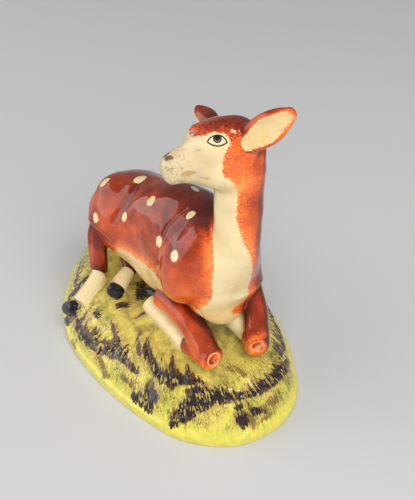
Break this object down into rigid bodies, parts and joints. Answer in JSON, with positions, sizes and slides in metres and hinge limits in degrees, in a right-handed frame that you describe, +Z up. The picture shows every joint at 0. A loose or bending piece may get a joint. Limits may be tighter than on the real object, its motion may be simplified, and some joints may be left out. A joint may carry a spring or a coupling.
{
  "type": "deer figurine",
  "caption": "Glazed earthenware fawn lying on an oval grassy mound, head turned back over its right side, cast in one piece.",
  "frame": {"origin": "middle of the mound's flat underside", "axes": "+X along the oval base, the way the fawn's chest and knees face; +Y the fawn's left side; +Z up"},
  "size_m": [0.14, 0.087, 0.1323],
  "materials": {
    "glazed_earthenware": "glossy clear lead glaze over brushed red-brown, cream, yellow-green and black colours"
  },
  "bodies": {
    "root": {"fawn_on_mound": "glazed_earthenware"}
  },
  "joints": []
}
